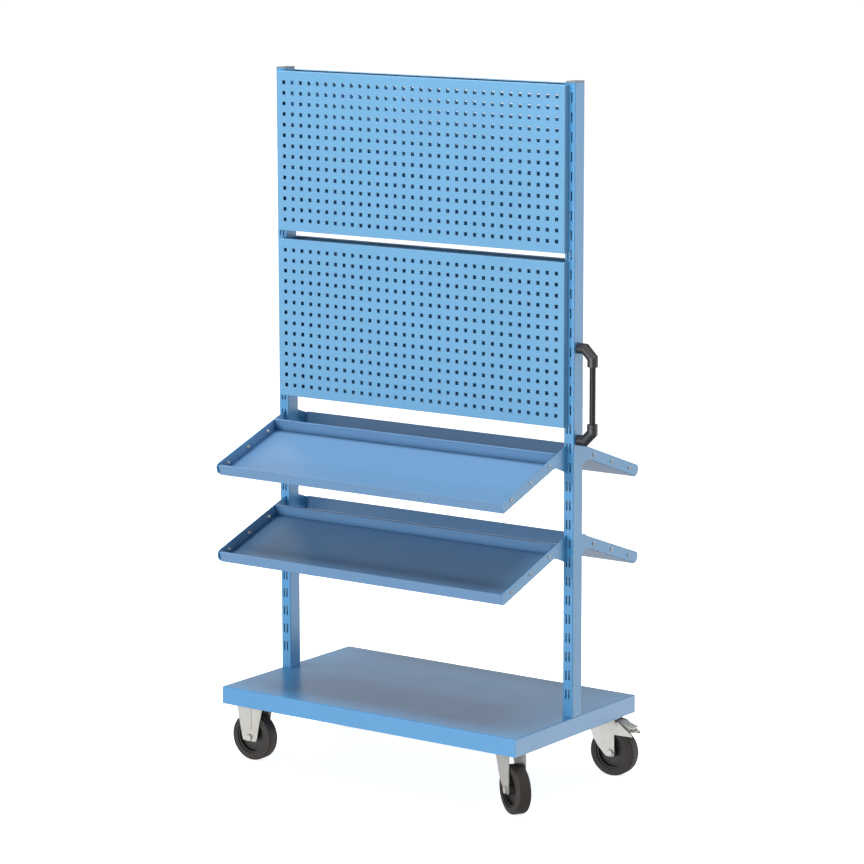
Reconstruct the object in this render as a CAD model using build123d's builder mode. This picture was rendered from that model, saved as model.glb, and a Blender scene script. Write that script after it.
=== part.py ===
"""Pegboard tool cart: a wheeled deck with two slotted posts that carry peg panels and sloping trays."""
import os
from math import cos, radians, sin

from build123d import *

# Frame: millimetres, +Z up, +X towards the handle end, drawn about the floor point under the deck's middle.

# Deck
deck_length = 960.0
deck_depth = 565.0
deck_top = 209.0
deck_skirt = 48.0
deck_sheet = 2.0
deck_bend = 3.0
deck_lip = 8.0

# Channels under the deck
channel_width = 123.0
channel_inset = 4.0
channel_sheet = 3.0
channel_play = 1.2
stiffener_width = 80.0

# Posts
post_width = 30.0
post_depth = 45.0
post_wall = 2.0
post_corner = 3.0
post_length = 1650.0
foot_height = 25.0
foot_bolt_spacing = 20.0
plug_play = 0.1
cap_thickness = 4.0
cap_round = 1.2
cap_plug_height = 14.0

# Slots in the posts
slot_pitch = 50.0
slot_count = 32
slot_first = 62.6
slot_height = 25.0
slot_width = 4.0
slot_offset = 4.8

# Hooks that hang panels and shelves in the slots
hook_sheet = 2.0
hook_neck = 12.0
hook_drop = 8.0
hook_finger = 2.5
hook_play = 0.3

# Perforated panels
hole_pitch = 28.3
hole_size = 10.0
hole_columns = 32
hole_rows = 14
panel_margin = 29.5
panel_sheet = 1.5
panel_depth = 20.0
panel_bend = 1.2
panel_play = 0.3
panel_first_slot = 15
panel_slot_step = 9
panel_hook_slots = (0, 7)
panel_below_hook = 32.5
hanger_margin = 12.0

# Sloping shelves: distances along the arm start where its top edge meets the post
shelf_heights = {"upper": 930.0, "lower": 694.0}
shelf_tilt = 19.4
arm_length = 318.0
arm_height = 30.0
arm_tip_round = 12.0
arm_root = 73.0
gusset_start = 70.0
gusset_round = 28.0
tray_sheet = 1.5
tray_back = 52.0
tray_front = 312.0
tray_rise = -2.0
tray_lip = 28.5
tray_back_lip = 34.5
tray_return = 5.0
tray_return_gap = 4.0
tray_play = 0.1
screw_first = 91.0
screw_pitch = 91.0
screw_count = 3
screw_diameter = 5.0
screw_hole = 5.5
screw_head = 9.0
screw_head_height = 2.8
screw_head_round = 1.6
screw_nut = 8.0
screw_nut_height = 4.0
screw_end = 1.5

# Handle on the outer face of the right post
handle_height = 1061.0
handle_span = 239.0
handle_standoff = 43.0
handle_tube = 16.0
handle_tube_wall = 2.0
handle_fit = 0.1
elbow_diameter = 28.0
elbow_foot = 20.0
elbow_drop = 45.0
elbow_socket = 14.0
handle_screw = 6.0
handle_screw_head = 11.0
handle_screw_head_height = 4.0
handle_screw_depth = 12.0

# Casters
fixed_inset = 56.5
swivel_inset = 71.0
caster_inset_y = 68.3
caster_height = 170.0
plate_length = 100.0
plate_width = 85.0
plate_sheet = 3.0
plate_corner = 6.0
plate_bolt_x = 76.0
plate_bolt_y = 66.0
wheel_diameter = 130.0
tyre_width = 38.0
tyre_round = 7.0
rim_diameter = 92.0
rim_wall = 5.0
rim_width = 30.0
web_width = 8.0
hub_diameter = 30.0
axle_diameter = 10.0
axle_head_height = 6.4
axle_nut_height = 8.0
axle_hex = 17.0
fork_gap = 44.0
fork_sheet = 3.0
fork_bend = 4.0
fork_foot = 12.0
fork_foot_lead = 13.0
fork_foot_drop = 10.0
fork_foot_round = 7.0
fork_front = 26.0
fork_front_drop = 6.0
fork_edge = [(12.0, 80.0), (-2.0, 100.0), (-10.0, 120.0)]
fixed_fork_top = 92.0
fixed_fork_foot = 46.0
fixed_rib_width = 14.0
fixed_rib_low = 85.0
fixed_rib_high = 150.0
fixed_rib_height = 1.5
swivel_trail = 49.0
swivel_rest = {"front": -32.0, "rear": 4.0}
race_diameter = 58.0
race_height = 9.0
race_play = 0.3
kingpin_diameter = 12.0
kingpin_nut = 19.0
kingpin_nut_height = 8.0
running_fit = 0.05
wheel_play = 0.3

# Brake on the rear swivel caster: points are distance from the swivel axis along the trail, then height
brake_arm = [(44.0, 152.0), (72.0, 151.0), (114.0, 120.5), (114.0, 116.0), (44.0, 116.0)]
brake_pin_place = (64.0, 144.0)
brake_pin = 6.0
brake_pin_head = 10.0
brake_pin_head_height = 2.0
pedal_width = 32.0
pedal_outline = [
    (56.0, 152.0),
    (70.0, 152.0),
    (112.0, 137.5),
    (112.0, 134.5),
    (101.0, 138.0),
    (101.0, 130.5),
    (116.5, 128.0),
    (116.0, 125.0),
    (98.0, 126.5),
    (92.0, 125.0),
    (78.0, 129.5),
    (64.0, 136.0),
    (56.0, 144.0),
]
pedal_hollow = [(59.0, 150.0), (71.0, 150.0), (76.0, 148.0), (76.0, 116.0), (59.0, 116.0)]
pedal_cheek = 3.0
pedal_button = 9.0
pedal_button_place = 94.0
pedal_button_low = 140.0
pedal_button_top = 147.0

# Bolts shared by the casters and the posts
bolt_diameter = 8.0
bolt_head = 13.0
bolt_head_height = 5.3
bolt_nut_height = 6.5
bolt_end = 2.0
bolt_hole = 9.0
foot_bolt_grip = 18.0

# Places that follow from the sizes above
deck_under = deck_top - deck_sheet
skirt_bottom = deck_top - deck_skirt
channel_height = deck_under - caster_height
channel_x = deck_length / 2 - channel_inset - channel_width / 2
post_x = (deck_length - post_width) / 2
post_top = deck_top + post_length
post_face = post_depth / 2
column_x = post_x - slot_offset
panel_half = column_x + hook_sheet / 2 + panel_sheet
panel_height = (hole_rows - 1) * hole_pitch + 2 * panel_margin
tray_half = column_x - hook_sheet / 2 - tray_play
tray_floor = tray_rise - arm_height
handle_x = deck_length / 2
caster_x = {"left": fixed_inset - deck_length / 2, "right": deck_length / 2 - swivel_inset}
caster_y = deck_depth / 2 - caster_inset_y
wheel_radius = wheel_diameter / 2
plate_under = caster_height - plate_sheet
crown_top = plate_under - race_height - race_play
crown_under = crown_top - fork_sheet
fork_width = fork_gap + 2 * fork_sheet
hub_length = fork_gap - 2 * wheel_play
object_right = handle_x + handle_standoff + elbow_diameter / 2
object_left = caster_x["left"] - wheel_radius
object_middle = (object_left + object_right) / 2
sides = {"front": -1, "rear": 1}
ends = {"left": -1, "right": 1}
levels = {"lower": 0, "upper": 1}

os.makedirs("parts", exist_ok=True)


def save(part, name):
    """Set the origin under the middle of the whole object, label the piece and write it as its own file."""
    placed = part.moved(Location((-object_middle, 0, 0)))
    placed.label = name
    export_step(placed, f"parts/{name}.step")


def slot_seat(index):
    """Height of the lower edge of a slot, on which a hook rests."""
    return deck_top + slot_first + index * slot_pitch - slot_height / 2


def panel_bottom(level):
    """Height of the lower edge of a panel."""
    return slot_seat(panel_first_slot + levels[level] * panel_slot_step) - panel_below_hook


def screw_places():
    """Places of a shelf's screws along its arm, in the plane of the arm."""
    return [(screw_first + i * screw_pitch, -arm_height / 2) for i in range(screw_count)]


def upright_plane(x, side):
    """Plane across X whose own x runs outwards to one side of the cart and whose own y runs up."""
    return Plane(origin=(x, 0, 0), x_dir=(0, side, 0), z_dir=(side, 0, 0))


def shelf_plane(x, side, level):
    """Plane across X whose own x runs down the slope of a shelf, from where its arm meets the post."""
    tilt = radians(shelf_tilt)
    corner = (x, side * post_face, shelf_heights[level])
    return Plane(origin=corner, x_dir=(0, side * cos(tilt), -sin(tilt)), z_dir=(side, 0, 0))


def caster_place(side, end):
    """Place of a caster's mounting centre and the angle of its rolling direction at rest."""
    yaw = swivel_rest[side] if end == "right" else 0.0
    return caster_x[end], sides[side] * caster_y, radians(yaw)


def rolling_plane(side, end):
    """Upright plane through a caster's mounting centre whose own x is the rolling direction."""
    x, y, yaw = caster_place(side, end)
    return Plane(origin=(x, y, 0), x_dir=(cos(yaw), sin(yaw), 0), z_dir=(sin(yaw), -cos(yaw), 0))


def trail(end):
    """Distance of a wheel's axle from its caster's mounting centre."""
    return swivel_trail if end == "right" else 0.0


def wheel_frame(side, end):
    """Plane of a wheel's section, its own x along the axle, and the axle's line."""
    x, y, yaw = caster_place(side, end)
    centre = (x + trail(end) * cos(yaw), y + trail(end) * sin(yaw), wheel_radius)
    along = (sin(yaw), -cos(yaw), 0)
    return Plane(origin=centre, x_dir=along, z_dir=(-cos(yaw), -sin(yaw), 0)), Axis(centre, along)


def draw_hook(seat):
    """Draw one hook: a neck through the post wall and a finger that drops behind it."""
    finger_face = post_face - post_wall - hook_play
    finger_back = finger_face - hook_finger
    with Locations(((finger_back + post_face) / 2, seat + hook_neck / 2)):
        Rectangle(post_face - finger_back, hook_neck)
    with Locations(((finger_back + finger_face) / 2, seat + (hook_neck - hook_drop) / 2)):
        Rectangle(hook_finger, hook_neck + hook_drop)


def draw_tube_filling():
    """Draw the section of a plug that fits down the inside of a post."""
    width = post_width - 2 * (post_wall + plug_play)
    depth = post_depth - 2 * (post_wall + plug_play)
    RectangleRounded(width, depth, post_corner - post_wall)


def make_deck():
    """Folded sheet deck: flat top, skirt all round and a narrow lip turned in at the bottom."""
    inside_length = deck_length - 2 * deck_sheet
    inside_depth = deck_depth - 2 * deck_sheet
    with BuildPart() as deck:
        with BuildSketch(Plane.XY.offset(skirt_bottom)):
            Rectangle(deck_length, deck_depth)
        extrude(amount=deck_skirt)
        fillet(deck.edges().group_by(Axis.Z)[-1], deck_bend)
        offset(amount=-deck_sheet, openings=deck.faces().sort_by(Axis.Z)[0])
        with BuildSketch(Plane.XY.offset(skirt_bottom)):
            Rectangle(inside_length, inside_depth)
            Rectangle(inside_length - 2 * deck_lip, inside_depth - 2 * deck_lip, mode=Mode.SUBTRACT)
        extrude(amount=deck_sheet)
        with BuildSketch(Plane.XY.offset(deck_under)):
            with GridLocations(2 * post_x, foot_bolt_spacing, 2, 2):
                Circle(bolt_hole / 2)
        extrude(amount=deck_sheet, mode=Mode.SUBTRACT)
    return deck.part


def make_channel(end):
    """Channel across the underside of the deck that carries the two casters of one end."""
    length = deck_depth - 2 * deck_sheet - 2 * channel_play
    middle = ends[end] * channel_x
    with BuildPart() as channel:
        with BuildSketch(Plane.XZ):
            with Locations((middle, caster_height + channel_height / 2)):
                Rectangle(channel_width, channel_height)
            with Locations((middle, caster_height + channel_sheet + channel_height / 2)):
                Rectangle(channel_width - 2 * channel_sheet, channel_height, mode=Mode.SUBTRACT)
        extrude(amount=length / 2, both=True)
        with BuildSketch(Plane.XY.offset(caster_height)):
            with Locations((caster_x[end], -caster_y), (caster_x[end], caster_y)):
                with GridLocations(plate_bolt_x, plate_bolt_y, 2, 2):
                    Circle(bolt_hole / 2)
        extrude(amount=channel_sheet, mode=Mode.SUBTRACT)
    return channel.part


def make_stiffener():
    """Channel along the middle of the deck's underside, from one caster channel to the other."""
    length = 2 * channel_x - channel_width - 2 * channel_play
    with BuildPart() as stiffener:
        with BuildSketch(Plane.YZ):
            with Locations((0, caster_height + channel_height / 2)):
                Rectangle(stiffener_width, channel_height)
            with Locations((0, caster_height + channel_sheet + channel_height / 2)):
                Rectangle(stiffener_width - 2 * channel_sheet, channel_height, mode=Mode.SUBTRACT)
        extrude(amount=length / 2, both=True)
    return stiffener.part


def make_post(end):
    """Rectangular tube with two columns of slots through its front and rear walls."""
    middle = ends[end] * post_x
    slots_middle = deck_top + slot_first + (slot_count - 1) * slot_pitch / 2
    inner_width = post_width - 2 * post_wall
    inner_depth = post_depth - 2 * post_wall
    with BuildPart() as post:
        with BuildSketch(Plane.XY.offset(deck_top)):
            with Locations((middle, 0)):
                RectangleRounded(post_width, post_depth, post_corner)
                RectangleRounded(inner_width, inner_depth, post_corner - post_wall, mode=Mode.SUBTRACT)
        extrude(amount=post_length)
        with BuildSketch(Plane.XZ):
            with Locations((middle, slots_middle)):
                with GridLocations(2 * slot_offset, slot_pitch, 2, slot_count):
                    Rectangle(slot_width, slot_height)
        extrude(amount=post_depth, both=True, mode=Mode.SUBTRACT)
        if end == "right":
            with BuildSketch(Plane.YZ.offset(post_x)):
                with Locations((0, handle_height)):
                    with GridLocations(0, handle_span, 1, 2):
                        Circle(handle_screw / 2 + handle_fit)
            extrude(amount=post_width, mode=Mode.SUBTRACT)
    return post.part


def make_post_feet():
    """Threaded blocks in the feet of the posts, which the bolts from under the deck pull down."""
    with BuildPart() as feet:
        with BuildSketch(Plane.XY.offset(deck_top)):
            with GridLocations(2 * post_x, 0, 2, 1):
                draw_tube_filling()
            with GridLocations(2 * post_x, foot_bolt_spacing, 2, 2):
                Circle(bolt_diameter / 2 + running_fit, mode=Mode.SUBTRACT)
        extrude(amount=foot_height)
    return feet.part


def make_post_bolts():
    """Four bolts from under the deck into the feet of the posts."""
    with BuildPart() as bolts:
        with BuildSketch(Plane.XY.offset(deck_under)):
            with GridLocations(2 * post_x, foot_bolt_spacing, 2, 2):
                RegularPolygon(bolt_head / 2, 6, major_radius=False)
        extrude(amount=-bolt_head_height)
        with BuildSketch(Plane.XY.offset(deck_under)):
            with GridLocations(2 * post_x, foot_bolt_spacing, 2, 2):
                Circle(bolt_diameter / 2)
        extrude(amount=deck_sheet + foot_bolt_grip)
    return bolts.part


def make_cap(end):
    """Plastic cap on a post: a lid with a plug that goes down the tube."""
    middle = ends[end] * post_x
    with BuildPart() as cap:
        with BuildSketch(Plane.XY.offset(post_top)):
            with Locations((middle, 0)):
                RectangleRounded(post_width, post_depth, post_corner)
        extrude(amount=cap_thickness)
        fillet(cap.edges().group_by(Axis.Z)[-1], cap_round)
        with BuildSketch(Plane.XY.offset(post_top)):
            with Locations((middle, 0)):
                draw_tube_filling()
        extrude(amount=-cap_plug_height)
    return cap.part


def panel_front(side, level):
    """Plane of a panel's outer face, centred on the panel and facing outwards."""
    sign = sides[side]
    middle = panel_bottom(level) + panel_height / 2
    place = (0, sign * (post_face + panel_depth), middle)
    return Plane(origin=place, x_dir=(-sign, 0, 0), z_dir=(0, sign, 0))


def make_panel(side, level):
    """Flat front of a panel with its grid of square holes and rounded outer edges."""
    front = panel_front(side, level)
    with BuildPart() as panel:
        with BuildSketch(front):
            Rectangle(2 * panel_half, panel_height)
        extrude(amount=-panel_sheet)
        outer = panel.faces().sort_by(Axis.Y, reverse=sides[side] > 0)[0]
        fillet(outer.edges(), panel_bend)
        with BuildSketch(front):
            Rectangle(hole_columns * hole_pitch, hole_rows * hole_pitch)
        extrude(amount=-panel_sheet, mode=Mode.SUBTRACT)
        with BuildSketch(front):
            Rectangle(hole_columns * hole_pitch, hole_rows * hole_pitch)
            with GridLocations(hole_pitch, hole_pitch, hole_columns, hole_rows):
                Rectangle(hole_size, hole_size, mode=Mode.SUBTRACT)
        extrude(amount=-panel_sheet)
    return panel.part


def make_panel_rim(side, level):
    """Folded edge behind a panel's front, with a strip at each end whose hooks rest in the post slots."""
    inner = post_face + panel_depth - panel_sheet
    first = panel_first_slot + levels[level] * panel_slot_step
    with BuildPart() as rim:
        with BuildSketch(panel_front(side, level).offset(-panel_sheet)):
            Rectangle(2 * panel_half, panel_height)
            Rectangle(2 * (panel_half - panel_sheet), panel_height - 2 * panel_sheet, mode=Mode.SUBTRACT)
        extrude(amount=panel_sheet + panel_play - panel_depth)
        for end in ends.values():
            with BuildSketch(upright_plane(end * column_x, sides[side])):
                with Locations(((post_face + inner) / 2, panel_bottom(level) + panel_height / 2)):
                    Rectangle(inner - post_face, panel_height - 2 * hanger_margin)
                for step in panel_hook_slots:
                    draw_hook(slot_seat(first + step))
            extrude(amount=hook_sheet / 2, both=True)
    return rim.part


def make_tray(side, level):
    """Sloping tray: floor, four upturned edges, and a narrow return along the front and back edges."""
    middle = (tray_back + tray_front) / 2
    depth = tray_front - tray_back
    edges = ((tray_back, 1, tray_back_lip), (tray_front, -1, tray_lip))
    with BuildPart() as tray:
        with BuildSketch(shelf_plane(0, sides[side], level)):
            with Locations((middle, tray_floor + tray_sheet / 2)):
                Rectangle(depth, tray_sheet)
            for place, inwards, lip in edges:
                with Locations((place + inwards * tray_sheet / 2, tray_floor + lip / 2)):
                    Rectangle(tray_sheet, lip)
        extrude(amount=tray_half, both=True)
        with BuildSketch(shelf_plane(0, sides[side], level)):
            for place, inwards, lip in edges:
                with Locations((place + inwards * tray_return / 2, tray_floor + lip - tray_sheet / 2)):
                    Rectangle(tray_return, tray_sheet)
        extrude(amount=tray_half - tray_return_gap, both=True)
        for end in ends.values():
            with BuildSketch(shelf_plane(end * (tray_half - tray_sheet / 2), sides[side], level)):
                with Locations((middle, tray_floor + tray_lip / 2)):
                    Rectangle(depth, tray_lip)
            extrude(amount=tray_sheet / 2, both=True)
        with BuildSketch(shelf_plane(0, sides[side], level)):
            with Locations(screw_places()):
                Circle(screw_hole / 2)
        extrude(amount=tray_half, both=True, mode=Mode.SUBTRACT)
    return tray.part


def make_bracket(side, end, level):
    """Sheet bracket: a sloping arm with a rounded tip, a gusset at the post, and hooks in its slots."""
    top = shelf_heights[level]
    tilt = radians(shelf_tilt)
    root = (arm_root * sin(tilt), -arm_root * cos(tilt))
    corners = [(0, 0), (arm_length, 0), (arm_length, -arm_height), (gusset_start, -arm_height), root]
    with BuildPart() as bracket:
        with BuildSketch(shelf_plane(ends[end] * column_x, sides[side], level)) as arm:
            with BuildLine():
                Polyline(*corners, close=True)
            make_face()
            fillet(arm.vertices().group_by(Axis.X)[-1], arm_tip_round)
            fillet(arm.vertices().sort_by_distance((gusset_start, -arm_height, 0))[0], gusset_round)
            with Locations(screw_places()):
                Circle(screw_hole / 2, mode=Mode.SUBTRACT)
        extrude(amount=hook_sheet / 2, both=True)
        with BuildSketch(upright_plane(ends[end] * column_x, sides[side])):
            for seat in map(slot_seat, range(slot_count)):
                if seat > top - arm_root and seat + hook_neck < top:
                    draw_hook(seat)
        extrude(amount=hook_sheet / 2, both=True)
    return bracket.part


def make_shelf_screws(side, level):
    """Screws through the brackets into the tray edges of one shelf, each with its nut inside."""
    with BuildPart() as screws:
        for end in ends.values():
            outwards = end * sides[side]
            outer = shelf_plane(end * (column_x + hook_sheet / 2), sides[side], level)
            inner = shelf_plane(end * (tray_half - tray_sheet), sides[side], level)
            with BuildSketch(outer):
                with Locations(screw_places()):
                    Circle(screw_head / 2)
            extrude(amount=outwards * screw_head_height)
            fillet(screws.edges().group_by(Axis.X)[-1 if end > 0 else 0], screw_head_round)
            with BuildSketch(outer):
                with Locations(screw_places()):
                    Circle(screw_diameter / 2)
            grip = hook_sheet + tray_play + tray_sheet + screw_nut_height + screw_end
            extrude(amount=-outwards * grip)
            with BuildSketch(inner):
                with Locations(screw_places()):
                    RegularPolygon(screw_nut / 2, 6, major_radius=False)
            extrude(amount=-outwards * screw_nut_height)
    return screws.part


def make_elbow(place):
    """Handle elbow that leaves the post level, turns in two mitred steps and takes the tube in a socket."""
    arm_z = handle_height + place * handle_span / 2
    leg_z = arm_z - place * elbow_drop
    tube_x = handle_x + handle_standoff
    knee = (handle_x + elbow_foot, arm_z)
    turn = (tube_x, arm_z - place * (handle_standoff - elbow_foot))
    with BuildPart() as elbow:
        with BuildLine(Plane.XZ):
            Polyline((handle_x, arm_z), knee, turn, (tube_x, leg_z))
        with BuildSketch(Plane(origin=(handle_x, 0, arm_z), z_dir=(1, 0, 0))):
            Circle(elbow_diameter / 2)
        sweep(transition=Transition.RIGHT)
        with BuildSketch(Plane.XY.offset(leg_z)):
            with Locations((tube_x, 0)):
                Circle(handle_tube / 2 + handle_fit)
        extrude(amount=place * elbow_socket, mode=Mode.SUBTRACT)
        with BuildSketch(Plane.YZ.offset(handle_x)):
            with Locations((0, arm_z)):
                Circle(handle_screw / 2 + handle_fit)
        extrude(amount=handle_screw_depth + handle_fit, mode=Mode.SUBTRACT)
    return elbow.part


def make_handle_tube():
    """Grip tube between the two elbows."""
    length = handle_span - 2 * elbow_drop + 2 * (elbow_socket - handle_fit)
    with BuildPart() as tube:
        with BuildSketch(Plane.XY.offset(handle_height)):
            with Locations((handle_x + handle_standoff, 0)):
                Circle(handle_tube / 2)
                Circle(handle_tube / 2 - handle_tube_wall, mode=Mode.SUBTRACT)
        extrude(amount=length / 2, both=True)
    return tube.part


def make_handle_screws():
    """Screws from inside the right post into the two elbows."""
    with BuildPart() as screws:
        with BuildSketch(Plane.YZ.offset(handle_x - post_wall)):
            with Locations((0, handle_height)):
                with GridLocations(0, handle_span, 1, 2):
                    Circle(handle_screw_head / 2)
        extrude(amount=-handle_screw_head_height)
        with BuildSketch(Plane.YZ.offset(handle_x - post_wall)):
            with Locations((0, handle_height)):
                with GridLocations(0, handle_span, 1, 2):
                    Circle(handle_screw / 2)
        extrude(amount=post_wall + handle_screw_depth)
    return screws.part


def make_caster_bolts():
    """Bolts that hold the four caster plates to the channels, heads below and nuts inside the channel."""
    places = [(x, y * caster_y) for x in caster_x.values() for y in sides.values()]
    grip = plate_sheet + channel_sheet + bolt_nut_height + bolt_end
    with BuildPart() as bolts:
        with BuildSketch(Plane.XY.offset(plate_under)):
            with Locations(places):
                with GridLocations(plate_bolt_x, plate_bolt_y, 2, 2):
                    RegularPolygon(bolt_head / 2, 6, major_radius=False)
        extrude(amount=-bolt_head_height)
        with BuildSketch(Plane.XY.offset(plate_under)):
            with Locations(places):
                with GridLocations(plate_bolt_x, plate_bolt_y, 2, 2):
                    Circle(bolt_diameter / 2)
        extrude(amount=grip)
        with BuildSketch(Plane.XY.offset(caster_height + channel_sheet)):
            with Locations(places):
                with GridLocations(plate_bolt_x, plate_bolt_y, 2, 2):
                    RegularPolygon(bolt_head / 2, 6, major_radius=False)
        extrude(amount=bolt_nut_height)
    return bolts.part


def draw_plate(side, end):
    """Draw a caster's mounting plate with its four bolt holes."""
    x, y, _ = caster_place(side, end)
    with Locations((x, y)):
        RectangleRounded(plate_length, plate_width, plate_corner)
        with GridLocations(plate_bolt_x, plate_bolt_y, 2, 2):
            Circle(bolt_hole / 2, mode=Mode.SUBTRACT)


def make_fixed_fork(side):
    """Fork of a fixed caster: mounting plate and two tapered legs with a pressed rib."""
    foot_z = wheel_radius - fork_foot_drop
    top = fixed_fork_top / 2
    foot = fixed_fork_foot / 2
    with BuildPart() as fork:
        with BuildSketch(rolling_plane(side, "left")) as leg:
            with BuildLine():
                Polyline((-top, plate_under), (top, plate_under), (foot, foot_z), (-foot, foot_z), close=True)
            make_face()
            fillet(leg.vertices().group_by(Axis.Y)[0], fork_foot_round)
        extrude(amount=fork_width / 2, both=True)
        with BuildSketch(rolling_plane(side, "left")):
            with Locations((0, (fixed_rib_low + fixed_rib_high) / 2)):
                SlotOverall(fixed_rib_high - fixed_rib_low, fixed_rib_width, rotation=90)
        extrude(amount=fork_width / 2 + fixed_rib_height, both=True)
        with BuildSketch(rolling_plane(side, "left")):
            with Locations((0, plate_under / 2)):
                Rectangle(fixed_fork_top, plate_under)
        extrude(amount=fork_gap / 2, both=True, mode=Mode.SUBTRACT)
        with BuildSketch(rolling_plane(side, "left")):
            with Locations((0, wheel_radius)):
                Circle(axle_diameter / 2 + running_fit)
        extrude(amount=fork_width, both=True, mode=Mode.SUBTRACT)
        with BuildSketch(Plane.XY.offset(plate_under)):
            draw_plate(side, "left")
        extrude(amount=plate_sheet)
    return fork.part


def make_swivel_plate(side):
    """Top of a swivel caster: mounting plate, ball race, and the kingpin with the nut that holds the fork."""
    x, y, _ = caster_place(side, "right")
    with BuildPart() as plate:
        with BuildSketch(Plane.XY.offset(plate_under)):
            draw_plate(side, "right")
        extrude(amount=plate_sheet)
        with BuildSketch(Plane.XY.offset(plate_under)):
            with Locations((x, y)):
                Circle(race_diameter / 2)
        extrude(amount=-race_height)
        with BuildSketch(Plane.XY.offset(plate_under)):
            with Locations((x, y)):
                Circle(kingpin_diameter / 2)
        extrude(amount=crown_under - race_play - plate_under)
        with BuildSketch(Plane.XY.offset(crown_under - race_play)):
            with Locations((x, y)):
                RegularPolygon(kingpin_nut / 2, 6, major_radius=False)
        extrude(amount=-kingpin_nut_height)
    return plate.part


def make_swivel_fork(side):
    """Fork of a swivel caster: crown under the race and two legs that lean back to the axle."""
    x, y, yaw = caster_place(side, "right")
    back = swivel_trail + fork_foot
    foot_z = wheel_radius - fork_foot_drop
    outline = [
        (-fork_front, crown_top),
        (back, crown_top),
        (back, foot_z),
        (swivel_trail - fork_foot_lead, foot_z),
        *fork_edge,
        (-fork_front, crown_top - fork_front_drop),
    ]
    with BuildPart() as fork:
        with BuildSketch(rolling_plane(side, "right")) as leg:
            with BuildLine():
                Polyline(*outline, close=True)
            make_face()
            fillet(leg.vertices().group_by(Axis.Y)[0], fork_foot_round)
        extrude(amount=fork_width / 2, both=True)
        along = Axis((x, y, crown_top), (cos(yaw), sin(yaw), 0))
        fillet(fork.edges().group_by(Axis.Z)[-1].filter_by(along), fork_bend)
        if side == "rear":
            with BuildSketch(rolling_plane(side, "right")):
                with BuildLine():
                    Polyline(*brake_arm, close=True)
                make_face()
            extrude(amount=fork_width / 2, both=True)
        with BuildSketch(rolling_plane(side, "right")):
            with Locations((swivel_trail, crown_under / 2)):
                Rectangle(2 * wheel_diameter, crown_under)
        extrude(amount=fork_gap / 2, both=True, mode=Mode.SUBTRACT)
        with BuildSketch(rolling_plane(side, "right")):
            with Locations((swivel_trail, wheel_radius)):
                Circle(axle_diameter / 2 + running_fit)
            if side == "rear":
                with Locations(brake_pin_place):
                    Circle(brake_pin / 2 + running_fit)
        extrude(amount=fork_width, both=True, mode=Mode.SUBTRACT)
        with BuildSketch(Plane.XY.offset(crown_under)):
            with Locations((x, y)):
                Circle(kingpin_diameter / 2 + running_fit)
        extrude(amount=fork_sheet, mode=Mode.SUBTRACT)
    return fork.part


def make_axle(side, end):
    """Axle bolt across a fork, with its head on one leg and its nut on the other."""
    plane = rolling_plane(side, end)
    centre = (trail(end), wheel_radius)
    with BuildPart() as axle:
        with BuildSketch(plane):
            with Locations(centre):
                Circle(axle_diameter / 2)
        extrude(amount=fork_width / 2, both=True)
        with BuildSketch(plane.offset(fork_width / 2)):
            with Locations(centre):
                RegularPolygon(axle_hex / 2, 6, major_radius=False)
        extrude(amount=axle_head_height)
        with BuildSketch(plane.offset(-fork_width / 2)):
            with Locations(centre):
                RegularPolygon(axle_hex / 2, 6, major_radius=False)
        extrude(amount=-axle_nut_height)
    return axle.part


def make_hub(side, end):
    """Wheel centre: boss on the axle, web and rim."""
    plane, axis = wheel_frame(side, end)
    bore = axle_diameter / 2 + running_fit
    boss = hub_diameter / 2
    rim = rim_diameter / 2
    with BuildPart() as hub:
        with BuildSketch(plane):
            with Locations((0, (bore + boss) / 2)):
                Rectangle(hub_length, boss - bore)
            with Locations((0, (boss + rim) / 2)):
                Rectangle(web_width, rim - boss)
            with Locations((0, rim - rim_wall / 2)):
                Rectangle(rim_width, rim_wall)
        revolve(axis=axis)
    return hub.part


def make_tyre(side, end):
    """Solid tyre with rounded shoulders, moulded on the rim."""
    plane, axis = wheel_frame(side, end)
    rim = rim_diameter / 2
    with BuildPart() as tyre:
        with BuildSketch(plane) as section:
            with Locations((0, (rim + wheel_radius) / 2)):
                Rectangle(tyre_width, wheel_radius - rim)
            fillet(section.vertices().group_by(Axis.Y)[-1], tyre_round)
        revolve(axis=axis)
    return tyre.part


def make_brake_pedal():
    """Brake lever between the arms of the rear swivel fork, with a shoe over the tyre and two tongues."""
    plane = rolling_plane("rear", "right")
    x, y, yaw = caster_place("rear", "right")
    button = (x + pedal_button_place * cos(yaw), y + pedal_button_place * sin(yaw))
    with BuildPart() as pedal:
        with BuildSketch(plane):
            with BuildLine():
                Polyline(*pedal_outline, close=True)
            make_face()
        extrude(amount=pedal_width / 2, both=True)
        with BuildSketch(plane):
            with BuildLine():
                Polyline(*pedal_hollow, close=True)
            make_face()
        extrude(amount=pedal_width / 2 - pedal_cheek, both=True, mode=Mode.SUBTRACT)
        with BuildSketch(plane):
            with Locations(brake_pin_place):
                Circle(brake_pin / 2 + running_fit)
        extrude(amount=pedal_width, both=True, mode=Mode.SUBTRACT)
        with BuildSketch(Plane.XY.offset(pedal_button_low)):
            with Locations(button):
                Circle(pedal_button / 2)
        extrude(amount=pedal_button_top - pedal_button_low)
    return pedal.part


def make_brake_pin():
    """Rivet on which the brake pedal turns."""
    plane = rolling_plane("rear", "right")
    with BuildPart() as pin:
        with BuildSketch(plane):
            with Locations(brake_pin_place):
                Circle(brake_pin / 2)
        extrude(amount=fork_width / 2, both=True)
        for turn in (-1, 1):
            with BuildSketch(plane.offset(turn * fork_width / 2)):
                with Locations(brake_pin_place):
                    Circle(brake_pin_head / 2)
            extrude(amount=turn * brake_pin_head_height)
    return pin.part


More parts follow.
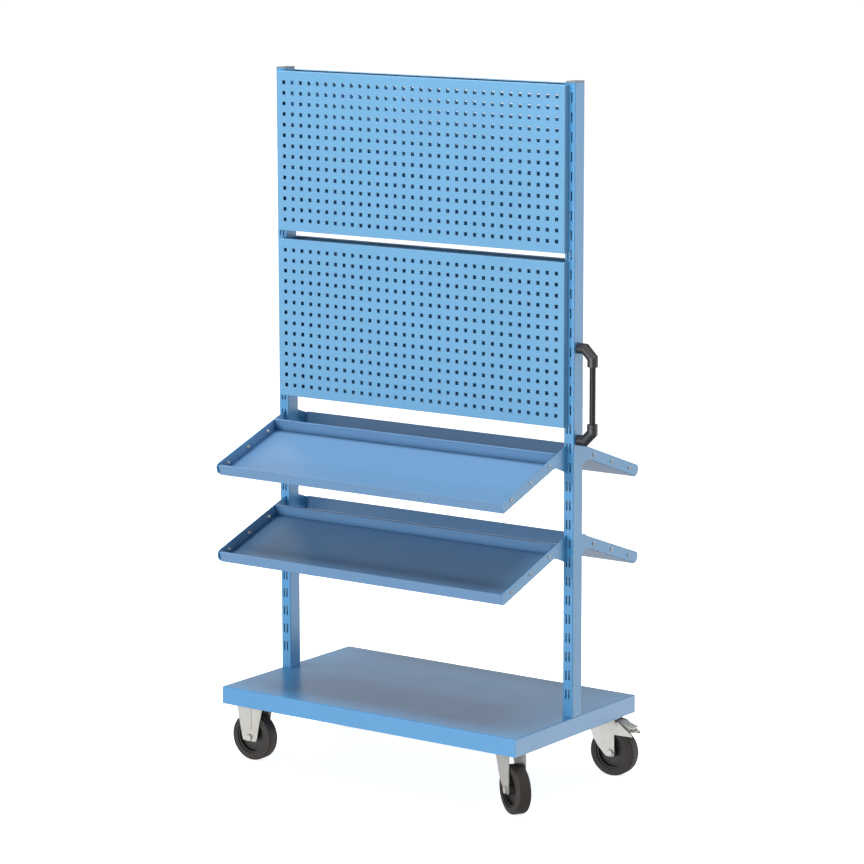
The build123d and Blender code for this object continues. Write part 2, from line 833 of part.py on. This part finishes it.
save(make_deck(), "deck")
save(make_stiffener(), "deck_stiffener")
save(make_post_feet(), "post_feet")
save(make_post_bolts(), "post_bolts")
save(make_caster_bolts(), "caster_bolts")
save(make_handle_tube(), "handle_tube")
save(make_handle_screws(), "handle_screws")
save(make_elbow(1), "handle_elbow_upper")
save(make_elbow(-1), "handle_elbow_lower")
save(make_brake_pedal(), "brake_pedal")
save(make_brake_pin(), "brake_pin")

for end in ends:
    save(make_channel(end), f"caster_channel_{end}")
    save(make_post(end), f"upright_{end}")
    save(make_cap(end), f"post_cap_{end}")

for side in sides:
    save(make_fixed_fork(side), f"fork_{side}_left")
    save(make_swivel_plate(side), f"swivel_plate_{side}_right")
    save(make_swivel_fork(side), f"fork_{side}_right")
    for end in ends:
        save(make_axle(side, end), f"axle_{side}_{end}")
        save(make_hub(side, end), f"hub_{side}_{end}")
        save(make_tyre(side, end), f"tyre_{side}_{end}")
    for level in levels:
        save(make_panel(side, level), f"panel_{side}_{level}")
        save(make_panel_rim(side, level), f"panel_rim_{side}_{level}")
        save(make_tray(side, level), f"tray_{side}_{level}")
        save(make_shelf_screws(side, level), f"shelf_screws_{side}_{level}")
        for end in ends:
            save(make_bracket(side, end, level), f"bracket_{side}_{end}_{level}")
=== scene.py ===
import math

import bpy
from mathutils import Matrix, Vector


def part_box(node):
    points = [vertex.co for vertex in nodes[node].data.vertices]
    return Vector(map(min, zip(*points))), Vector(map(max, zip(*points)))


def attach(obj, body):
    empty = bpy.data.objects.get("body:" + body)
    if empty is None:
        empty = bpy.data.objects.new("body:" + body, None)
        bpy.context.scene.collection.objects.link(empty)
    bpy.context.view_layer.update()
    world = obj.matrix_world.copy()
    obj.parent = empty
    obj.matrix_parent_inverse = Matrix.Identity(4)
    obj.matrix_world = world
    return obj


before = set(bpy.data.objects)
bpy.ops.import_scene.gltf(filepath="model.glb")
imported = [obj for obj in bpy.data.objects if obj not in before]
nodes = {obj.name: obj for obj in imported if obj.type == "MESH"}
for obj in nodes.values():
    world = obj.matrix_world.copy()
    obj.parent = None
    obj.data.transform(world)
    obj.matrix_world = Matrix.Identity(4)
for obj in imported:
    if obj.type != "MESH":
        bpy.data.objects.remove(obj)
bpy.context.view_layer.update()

# Lengths are in metres, and angles are in degrees where a name ends in DEG
SIDES = ("front", "rear")
LEVELS = ("upper", "lower")

# Heights of the hole fields of the lower and the upper panels, and the height over which their painted shade
# fades
HOLE_ROWS = ((0.985, 1.385), (1.435, 1.835))
ROW_FADE = 0.003

# Rounding that finds edges for wear and painted highlights, less than the 1.5 mm of the sheets, and the rays
# of each edge or painted-shade test
EDGE_RADIUS = 0.0012
TEST_RAYS = 6

# What is left of each channel of a paint where shade is painted into recesses
PAINTED_SHADE_TINT = (0.12, 0.35, 0.5)

# Beads on the side walls of the tyres, and the turn of each wheel about the vertical at rest
WHEEL_TURN_DEG = {
    ("front", "left"): 0.0,
    ("rear", "left"): 0.0,
    ("front", "right"): -32.0,
    ("rear", "right"): 4.0,
}
TYRE_HALF = 0.019
BEAD_RADIUS = 0.0525
BEAD_WIDTH = 0.006
BEAD_HEIGHT = 0.0009
BEAD_STEPS = 7
BEAD_SIDES = 72

# Screw heads of a shelf are told apart by a gap along Y, and their flat ends are found within a tolerance
HEAD_GAP = 0.02
HEAD_TOLERANCE = 1e-5

# Rings of a screw socket from the rim inwards: half width, height above the head, six-sided or round
SOCKET_RINGS = (
    (0.0027, -0.0002, False),
    (0.0027, 0.0001, False),
    (0.0025, 0.00015, False),
    (0.0019, 0.00015, True),
    (0.0018, 0.00003, True),
)
SOCKET_SIDES = 24

# Half of the angle that one flat of a six-sided ring takes up
HALF_FLAT = math.pi / 6

# Floor, and its own light that keeps it near white
FLOOR_HALF = 14.0
FLOOR_GLOW = 0.78

# Brightness of the backdrop, which only the camera sees
BACKDROP_GLOW = 1.05

# Camera fitted to the hole grid, the posts and the deck in the photo
CAMERA_PLACE = (5.2404, -7.2732, 2.5002)
CAMERA_TURN_DEG = 35.806
CAMERA_DROP_DEG = 10.027
CAMERA_ROLL_DEG = -0.128
CAMERA_SHIFT = 0.000544
CAMERA_END = 100.0
LENS_MM = 143.2
SENSOR_MM = 36.0

# Sockets of a Mix node that are its two colours and the mixed one
MIX_FIRST = 6
MIX_SECOND = 7
MIX_RESULT = 2


def new_material(name):
    """Node material, with its tree and its Principled shader."""
    mat = bpy.data.materials.new(name)
    mat.use_nodes = True
    tree = mat.node_tree
    bsdf = tree.nodes["Principled BSDF"]
    return mat, tree, bsdf


def srgb(r, g, b):
    """Linear colour from screen values of 0 to 255."""
    return tuple(((c / 255.0 + 0.055) / 1.055) ** 2.4 if c > 10 else c / 255.0 / 12.92 for c in (r, g, b))


def shade(colour, factor, lift=0.0):
    """Colour made darker or lighter, with no channel above 1."""
    return tuple(min(1.0, c * factor + lift) for c in colour)


def tint(colour, factors):
    """Colour with a factor of its own for each channel."""
    return tuple(c * f for c, f in zip(colour, factors))


def coords(tree):
    """Place of a point on its own object."""
    return tree.nodes.new("ShaderNodeTexCoord").outputs["Object"]


def noise(tree, scale, detail=4.0, rough=0.55):
    """Noise over the object's own coordinates."""
    node = tree.nodes.new("ShaderNodeTexNoise")
    node.inputs["Scale"].default_value = scale
    node.inputs["Detail"].default_value = detail
    node.inputs["Roughness"].default_value = rough
    tree.links.new(coords(tree), node.inputs["Vector"])
    return node.outputs["Fac"]


def remap(tree, value, low, high, start=0.0, end=1.0):
    """Value that goes from start to end while the given one goes from low to high."""
    node = tree.nodes.new("ShaderNodeMapRange")
    for i, number in enumerate((low, high, start, end), start=1):
        node.inputs[i].default_value = number
    tree.links.new(value, node.inputs[0])
    return node.outputs[0]


def patches(tree, scale, low, high, start=0.0, end=1.0, detail=4.0, rough=0.55):
    """Noise whose range from low to high is drawn out to go from start to end."""
    return remap(tree, noise(tree, scale, detail, rough), low, high, start, end)


def math_node(tree, operation, a, b):
    """Result of one operation on two values."""
    node = tree.nodes.new("ShaderNodeMath")
    node.operation = operation
    tree.links.new(a, node.inputs[0])
    tree.links.new(b, node.inputs[1])
    return node.outputs[0]


def mix(tree, share, a, b):
    """Colour that goes from a to b as the share rises. Each is a fixed colour or the output of a node."""
    node = tree.nodes.new("ShaderNodeMix")
    node.data_type = "RGBA"
    tree.links.new(share, node.inputs[0])
    for socket, colour in ((node.inputs[MIX_FIRST], a), (node.inputs[MIX_SECOND], b)):
        if isinstance(colour, tuple):
            socket.default_value = (*colour, 1.0)
        else:
            tree.links.new(colour, socket)
    return node.outputs[MIX_RESULT]


def rounded_normal(tree, radius):
    """Normal that is rounded over near edges."""
    bevel = tree.nodes.new("ShaderNodeBevel")
    bevel.samples = TEST_RAYS
    bevel.inputs["Radius"].default_value = radius
    return bevel.outputs[0]


def edge_mask(tree, low, high):
    """Mask that is 1 near edges: how far a rounded normal departs from the true one."""
    geometry = tree.nodes.new("ShaderNodeNewGeometry")
    dot = tree.nodes.new("ShaderNodeVectorMath")
    dot.operation = "DOT_PRODUCT"
    tree.links.new(rounded_normal(tree, EDGE_RADIUS), dot.inputs[0])
    tree.links.new(geometry.outputs["Normal"], dot.inputs[1])
    return remap(tree, dot.outputs["Value"], high, low)


def painted_shade_mask(tree, reach, low, high, spans=()):
    """Mask for painted shade: 1 in closed recesses and 0 in the open, kept to spans of height if there are
    any.
    """
    node = tree.nodes.new("ShaderNodeAmbientOcclusion")
    node.samples = TEST_RAYS
    node.inputs["Distance"].default_value = reach
    mask = remap(tree, node.outputs["AO"], low, high, 1.0, 0.0)
    if not spans:
        return mask
    split = tree.nodes.new("ShaderNodeSeparateXYZ")
    tree.links.new(coords(tree), split.inputs[0])
    height = split.outputs["Z"]
    window = None
    for bottom, top in spans:
        rise = remap(tree, height, bottom, bottom + ROW_FADE)
        fall = remap(tree, height, top - ROW_FADE, top, 1.0, 0.0)
        span = math_node(tree, "MULTIPLY", rise, fall)
        window = span if window is None else math_node(tree, "MAXIMUM", window, span)
    return math_node(tree, "MULTIPLY", mask, window)


def bump(tree, bsdf, height, strength, depth, radius=None):
    """Fine relief on the shader, over edges rounded by the radius if there is one."""
    node = tree.nodes.new("ShaderNodeBump")
    node.inputs["Strength"].default_value = strength
    node.inputs["Distance"].default_value = depth
    tree.links.new(height, node.inputs["Height"])
    if radius:
        tree.links.new(rounded_normal(tree, radius), node.inputs["Normal"])
    tree.links.new(node.outputs[0], bsdf.inputs["Normal"])


def powder_coat(name, colour, rough, coat=0.0, peel=0.25, ior=1.5, painted_recess_shade=None):
    """Powder-coated sheet: drift of tone, fine flecks, edges paler with wear and a painted highlight, painted
    shade in recesses, and orange peel.
    """
    mat, tree, bsdf = new_material(name)
    light = shade(colour, 1.03)
    drift = patches(tree, scale=3.0, low=0.25, high=0.75, detail=3.0)
    tone = mix(tree, drift, shade(colour, 0.965), light)
    flecks = patches(tree, scale=420.0, low=0.45, high=0.75, end=0.04, detail=1.0)
    tone = mix(tree, flecks, tone, light)
    # Edges paler partly from wear and partly as a painted highlight
    edge_patches = patches(tree, scale=60.0, low=0.45, high=0.7, end=0.45)
    wear_and_highlight = math_node(tree, "MULTIPLY", edge_mask(tree, low=0.80, high=0.97), edge_patches)
    tone = mix(tree, wear_and_highlight, tone, shade(colour, 0.5, lift=0.42))
    # Painted shade: recesses found by ambient occlusion take a deeper colour
    if painted_recess_shade:
        tone = mix(tree, painted_shade_mask(tree, **painted_recess_shade), tone, tint(colour, PAINTED_SHADE_TINT))
    tree.links.new(tone, bsdf.inputs["Base Color"])
    smears = patches(tree, scale=9.0, low=0.25, high=0.75, start=rough * 0.95, end=rough * 1.1)
    tree.links.new(smears, bsdf.inputs["Roughness"])
    bump(tree, bsdf, noise(tree, scale=260.0, detail=2.0), strength=peel, depth=0.00004, radius=EDGE_RADIUS)
    bsdf.inputs["Coat Weight"].default_value = coat
    bsdf.inputs["Coat Roughness"].default_value = 0.2
    bsdf.inputs["IOR"].default_value = ior
    return mat


def zinc(name, colour, rough, metal):
    """Bright zinc plate: cloudy passivation, small dull spots and fine grain."""
    mat, tree, bsdf = new_material(name)
    clouds = patches(tree, scale=40.0, low=0.35, high=0.68, detail=5.0, rough=0.6)
    tone = mix(tree, clouds, colour, tint(colour, (0.94, 0.90, 0.80)))
    spots = patches(tree, scale=260.0, low=0.62, high=0.74, end=0.5, detail=3.0)
    tone = mix(tree, spots, tone, shade(colour, 0.55))
    tree.links.new(tone, bsdf.inputs["Base Color"])
    smears = patches(tree, scale=120.0, low=0.3, high=0.7, start=rough * 0.8, end=rough * 1.3)
    tree.links.new(smears, bsdf.inputs["Roughness"])
    bsdf.inputs["Metallic"].default_value = metal
    bump(tree, bsdf, noise(tree, scale=1400.0, detail=2.0), strength=0.15, depth=0.00004, radius=0.0008)
    return mat


def moulded(name, colour, rough):
    """Moulded plastic with scuffed edges and a fine spark-eroded grain."""
    mat, tree, bsdf = new_material(name)
    drift = patches(tree, scale=25.0, low=0.35, high=0.7)
    tone = mix(tree, drift, colour, shade(colour, 1.25, lift=0.006))
    edge_patches = patches(tree, scale=150.0, low=0.45, high=0.7, end=0.5)
    scuffs = math_node(tree, "MULTIPLY", edge_mask(tree, low=0.75, high=0.96), edge_patches)
    tone = mix(tree, scuffs, tone, shade(colour, 1.6, lift=0.04))
    tree.links.new(tone, bsdf.inputs["Base Color"])
    smears = patches(tree, scale=80.0, low=0.3, high=0.7, start=rough * 0.85, end=rough * 1.15)
    tree.links.new(smears, bsdf.inputs["Roughness"])
    bump(tree, bsdf, noise(tree, scale=500.0, detail=3.0), strength=0.3, depth=0.00008, radius=0.0006)
    return mat


def rubber(name, colour):
    """Tyre rubber: dusty patches, soft sheen and a fine moulded texture."""
    mat, tree, bsdf = new_material(name)
    dust = patches(tree, scale=30.0, low=0.45, high=0.75, end=0.45, detail=6.0, rough=0.65)
    tone = mix(tree, dust, colour, shade(colour, 1.5, lift=0.012))
    tree.links.new(tone, bsdf.inputs["Base Color"])
    smears = patches(tree, scale=60.0, low=0.3, high=0.7, start=0.55, end=0.75)
    tree.links.new(smears, bsdf.inputs["Roughness"])
    bsdf.inputs["Specular IOR Level"].default_value = 0.3
    bump(tree, bsdf, noise(tree, scale=350.0, detail=3.0), strength=0.3, depth=0.00012)
    return mat


# Finishes of the nodes. What no prefix names is bright zinc
# The panel and shelf paints carry painted shade in their recesses
panel_paint = powder_coat("panel_paint", srgb(93, 142, 177), rough=0.48, peel=0.15, ior=1.3,
                          painted_recess_shade=dict(reach=0.4, low=0.2, high=0.45, spans=HOLE_ROWS))
post_paint = powder_coat("post_paint", srgb(64, 132, 179), rough=0.34, peel=0.15)
deck_paint = powder_coat("deck_paint", srgb(72, 133, 180), rough=0.30, coat=0.15, peel=0.06)
shelf_paint = powder_coat("shelf_paint", srgb(93, 131, 168), rough=0.32, peel=0.06, ior=1.62,
                          painted_recess_shade=dict(reach=0.03, low=0.40, high=0.72))
grip_paint = powder_coat("grip_paint", srgb(24, 22, 21), rough=0.5, ior=1.4)
bright_zinc = zinc("bright_zinc", (0.46, 0.455, 0.445), rough=0.36, metal=0.45)
screw_zinc = zinc("screw_zinc", (0.62, 0.62, 0.61), rough=0.36, metal=0.75)
# Painted shade: near-black colour for the shade in the screw sockets and round their heads
painted_socket_shade = zinc("painted_socket_shade", (0.11, 0.11, 0.115), rough=0.5, metal=0.5)
cap_plastic = moulded("cap_plastic", srgb(98, 102, 105), rough=0.5)
black_plastic = moulded("black_plastic", srgb(30, 30, 33), rough=0.42)
hub_plastic = moulded("hub_plastic", srgb(31, 29, 28), rough=0.6)
tyre_rubber = rubber("tyre_rubber", srgb(47, 43, 40))

# The first prefix that fits counts, so deck_stiffener stands before deck
by_prefix = (
    ("panel", panel_paint),
    ("tray", shelf_paint),
    ("bracket", post_paint),
    ("shelf_screws", screw_zinc),
    ("upright", post_paint),
    ("post_cap", cap_plastic),
    ("deck_stiffener", post_paint),
    ("deck", deck_paint),
    ("caster_channel", post_paint),
    ("handle_tube", grip_paint),
    ("handle_elbow", black_plastic),
    ("hub", hub_plastic),
    ("tyre", tyre_rubber),
)
for name, obj in nodes.items():
    chosen = next((material for prefix, material in by_prefix if name.startswith(prefix)), bright_zinc)
    obj.data.materials.clear()
    obj.data.materials.append(chosen)


def add_piece(name, points, faces, material, body):
    """New mesh with the given finish, which rides on a body."""
    mesh = bpy.data.meshes.new(name)
    mesh.from_pydata(points, [], faces)
    mesh.materials.append(material)
    obj = bpy.data.objects.new(name, mesh)
    bpy.context.collection.objects.link(obj)
    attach(obj, body)
    return obj


def loft(first, count, rings):
    """Faces between closed rings of count points each, which follow one another from the first point on."""
    faces = []
    for ring in range(rings - 1):
        start = first + ring * count
        for i in range(count):
            j = (i + 1) % count
            faces.append((start + i, start + j, start + count + j, start + count + i))
    return faces


def tyre_beads(side, end, yaw):
    """Raised bead round each side wall of a tyre."""
    low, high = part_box(f"tyre_{side}_{end}")
    centre = (low + high) / 2
    axis = Vector((-math.sin(yaw), math.cos(yaw), 0.0))
    ahead = Vector((math.cos(yaw), math.sin(yaw), 0.0))
    up = Vector((0.0, 0.0, 1.0))
    points, faces = [], []
    for hand in (-1, 1):
        faces += loft(len(points), BEAD_SIDES, BEAD_STEPS)
        for step in range(BEAD_STEPS):
            arch = math.pi * step / (BEAD_STEPS - 1)
            radius = BEAD_RADIUS + BEAD_WIDTH / 2 * math.cos(arch)
            out = hand * (TYRE_HALF + BEAD_HEIGHT * math.sin(arch))
            for i in range(BEAD_SIDES):
                a = 2 * math.pi * i / BEAD_SIDES
                points.append(centre + axis * out + radius * (ahead * math.cos(a) + up * math.sin(a)))
    name = f"tyre_beads_{side}_{end}"
    beads = add_piece(name, points, faces, tyre_rubber, f"wheel_{side}_{end}")
    for face in beads.data.polygons:
        face.use_smooth = True


def head_places(node, x_face):
    """Middles in Y and Z of the screw heads whose flat ends lie at x_face."""
    corners = [v.co for v in nodes[node].data.vertices]
    spots = sorted((co.y, co.z) for co in corners if abs(co.x - x_face) < HEAD_TOLERANCE)
    groups = [[spots[0]]]
    for spot in spots[1:]:
        if spot[0] - groups[-1][-1][0] > HEAD_GAP:
            groups.append([])
        groups[-1].append(spot)
    middles = []
    for group in groups:
        ys, zs = zip(*group)
        middles.append(((min(ys) + max(ys)) / 2, (min(zs) + max(zs)) / 2))
    return middles


def hex_sockets(side, level):
    """Dark rim with a shallow six-sided hollow on each screw head of a shelf, its dark colour being painted
    shade.
    """
    node = f"shelf_screws_{side}_{level}"
    low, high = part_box(node)
    points, faces = [], []
    for x_face, hand in ((low.x, -1), (high.x, 1)):
        for y, z in head_places(node, x_face):
            faces += loft(len(points), SOCKET_SIDES, len(SOCKET_RINGS))
            for half_width, proud, six_sided in SOCKET_RINGS:
                for i in range(SOCKET_SIDES):
                    a = 2 * math.pi * i / SOCKET_SIDES
                    # Angle from the middle of the flat that the point belongs to
                    turn = (a + HALF_FLAT) % (2 * HALF_FLAT) - HALF_FLAT
                    radius = half_width / math.cos(turn) if six_sided else half_width
                    points.append((x_face + hand * proud, y + radius * math.cos(a), z + radius * math.sin(a)))
            faces.append(tuple(range(len(points) - SOCKET_SIDES, len(points))))
    add_piece(f"screw_sockets_{side}_{level}", points, faces, painted_socket_shade, "frame")


for (side, end), turn_deg in WHEEL_TURN_DEG.items():
    tyre_beads(side, end, math.radians(turn_deg))
for side in SIDES:
    for level in LEVELS:
        hex_sockets(side, level)


# Pale floor that neither bounces light nor shows in reflections
floor_corners = [(x * FLOOR_HALF, y * FLOOR_HALF, 0.0) for x, y in ((-1, -1), (1, -1), (1, 1), (-1, 1))]
floor_mesh = bpy.data.meshes.new("floor")
floor_mesh.from_pydata(floor_corners, [], [(0, 1, 2, 3)])
floor = bpy.data.objects.new("floor", floor_mesh)
bpy.context.collection.objects.link(floor)
floor_mat, floor_tree, floor_bsdf = new_material("floor_pale")
floor_drift = patches(floor_tree, scale=0.8, low=0.3, high=0.7, detail=3.0)
floor_tone = mix(floor_tree, floor_drift, (0.90, 0.90, 0.91), (0.93, 0.93, 0.93))
floor_tree.links.new(floor_tone, floor_bsdf.inputs["Base Color"])
floor_bsdf.inputs["Roughness"].default_value = 0.9
floor_bsdf.inputs["Specular IOR Level"].default_value = 0.1
floor_bsdf.inputs["Emission Color"].default_value = (1.0, 1.0, 1.0, 1.0)
floor_bsdf.inputs["Emission Strength"].default_value = FLOOR_GLOW
floor_mesh.materials.append(floor_mat)
floor.visible_glossy = False
floor.visible_diffuse = False
floor.visible_shadow = False

# Surround: a grey wall at the back left, a bright one at the right and a soft one in front
world = bpy.data.worlds.new("studio")
world.use_nodes = True
world_tree = world.node_tree
surround = world_tree.nodes["Background"]
surround.inputs["Color"].default_value = (0.97, 0.985, 1.0, 1.0)
towards = world_tree.nodes.new("ShaderNodeTexCoord").outputs["Generated"]


def wall(direction, edge, full, start, end):
    """Light from one direction of the surround, which goes from start at its edge to end where it is full."""
    facing = world_tree.nodes.new("ShaderNodeVectorMath")
    facing.operation = "DOT_PRODUCT"
    facing.inputs[1].default_value = direction
    world_tree.links.new(towards, facing.inputs[0])
    return remap(world_tree, facing.outputs["Value"], edge, full, start, end)


back_left = wall((-0.58, 0.81, 0.0), edge=-0.3, full=0.9, start=0.15, end=0.74)
right = wall((0.58, 0.80, -0.12), edge=0.78, full=1.0, start=0.0, end=2.8)
front = wall((0.0, -0.978, -0.208), edge=0.55, full=0.95, start=0.0, end=1.8)
both_sides = math_node(world_tree, "ADD", back_left, right)
all_walls = math_node(world_tree, "ADD", both_sides, front)
world_tree.links.new(all_walls, surround.inputs["Strength"])

# White backdrop, which takes the place of the surround for the camera
backdrop = world_tree.nodes.new("ShaderNodeBackground")
backdrop.inputs["Color"].default_value = (1.0, 1.0, 1.0, 1.0)
backdrop.inputs["Strength"].default_value = BACKDROP_GLOW
rays = world_tree.nodes.new("ShaderNodeLightPath")
choose = world_tree.nodes.new("ShaderNodeMixShader")
world_tree.links.new(rays.outputs["Is Camera Ray"], choose.inputs[0])
world_tree.links.new(surround.outputs[0], choose.inputs[1])
world_tree.links.new(backdrop.outputs[0], choose.inputs[2])
world_tree.links.new(choose.outputs[0], world_tree.nodes["World Output"].inputs["Surface"])
bpy.context.scene.world = world
bpy.context.scene.view_settings.view_transform = "Standard"


def area_light(name, place, target, size, power):
    """Rectangular light at a place, turned to its target."""
    data = bpy.data.lights.new(name, "AREA")
    data.shape = "RECTANGLE"
    data.size, data.size_y = size
    data.energy = power
    obj = bpy.data.objects.new(name, data)
    bpy.context.collection.objects.link(obj)
    obj.location = place
    obj.rotation_euler = (Vector(target) - Vector(place)).to_track_quat("-Z", "Y").to_euler()


area_light("key", place=(-0.6, -6.0, 0.3), target=(0.0, 0.0, 1.0), size=(3.2, 0.6), power=165)
area_light("top", place=(0.0, -0.9, 4.6), target=(0.0, -0.2, 0.8), size=(4.2, 1.4), power=200)
area_light("fill", place=(5.5, -0.4, 0.6), target=(0.0, 0.0, 0.9), size=(2.0, 1.0), power=20)

# Camera in the place of the photo's
camera_data = bpy.data.cameras.new("camera")
camera_data.sensor_width = SENSOR_MM
camera_data.lens = LENS_MM
camera_data.clip_end = CAMERA_END
camera_data.shift_x = -CAMERA_SHIFT
camera_data.shift_y = CAMERA_SHIFT
camera = bpy.data.objects.new("camera", camera_data)
bpy.context.collection.objects.link(camera)
turn = math.radians(CAMERA_TURN_DEG)
drop = math.radians(CAMERA_DROP_DEG)
roll = math.radians(CAMERA_ROLL_DEG)
forward = Vector((-math.sin(turn) * math.cos(drop), math.cos(turn) * math.cos(drop), -math.sin(drop)))
rotation = forward.to_track_quat("-Z", "Y").to_matrix() @ Matrix.Rotation(roll, 3, "Z")
camera.matrix_world = Matrix.Translation(CAMERA_PLACE) @ rotation.to_4x4()
bpy.context.scene.camera = camera
